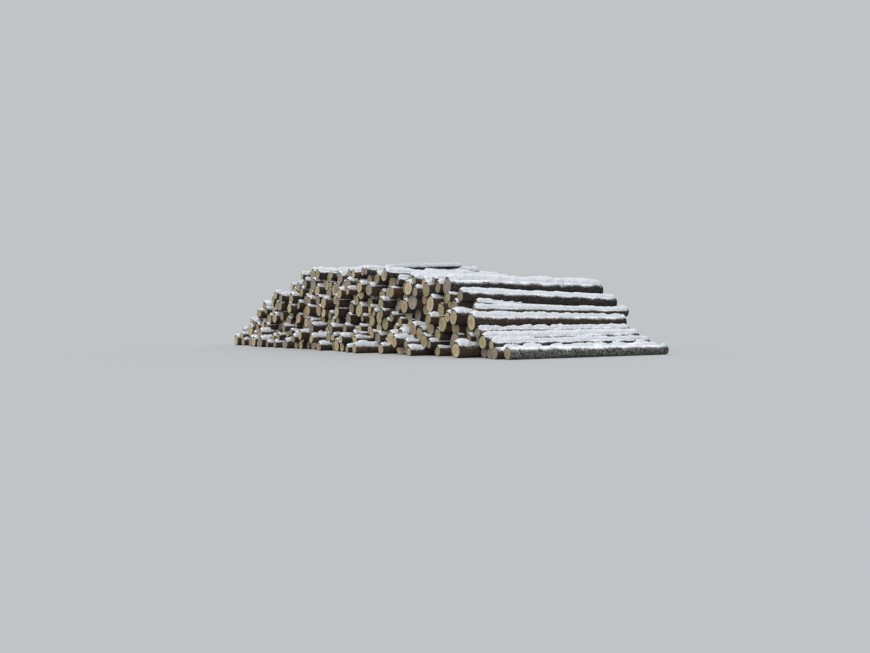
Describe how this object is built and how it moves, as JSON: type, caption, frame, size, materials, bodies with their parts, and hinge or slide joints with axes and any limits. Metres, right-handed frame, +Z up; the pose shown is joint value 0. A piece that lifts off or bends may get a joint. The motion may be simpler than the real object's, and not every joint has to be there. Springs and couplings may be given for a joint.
{
  "type": "log deck",
  "caption": "Roadside deck of round sawlogs laid side by side in a long stack, with a tall stepped end and a long slope at the other end",
  "frame": {"origin": "centre of the deck's footprint on the ground", "axes": "X along the deck towards its tall stepped end, Y along the logs away from the butt face, Z up"},
  "size_m": [16.669, 9.3676, 3.2792],
  "materials": {
    "bark": "rough dark grey-brown bark with pale sawn ends"
  },
  "bodies": {
    "root": {"course_01_logs": "bark", "course_02_logs": "bark", "course_03_logs": "bark", "course_04_logs": "bark", "course_05_logs": "bark", "course_06_logs": "bark", "course_07_logs": "bark", "course_08_logs": "bark", "course_09_logs": "bark", "course_10_logs": "bark", "course_11_logs": "bark", "course_12_logs": "bark", "course_13_logs": "bark", "course_14_logs": "bark", "top_poles": "bark"}
  },
  "joints": []
}
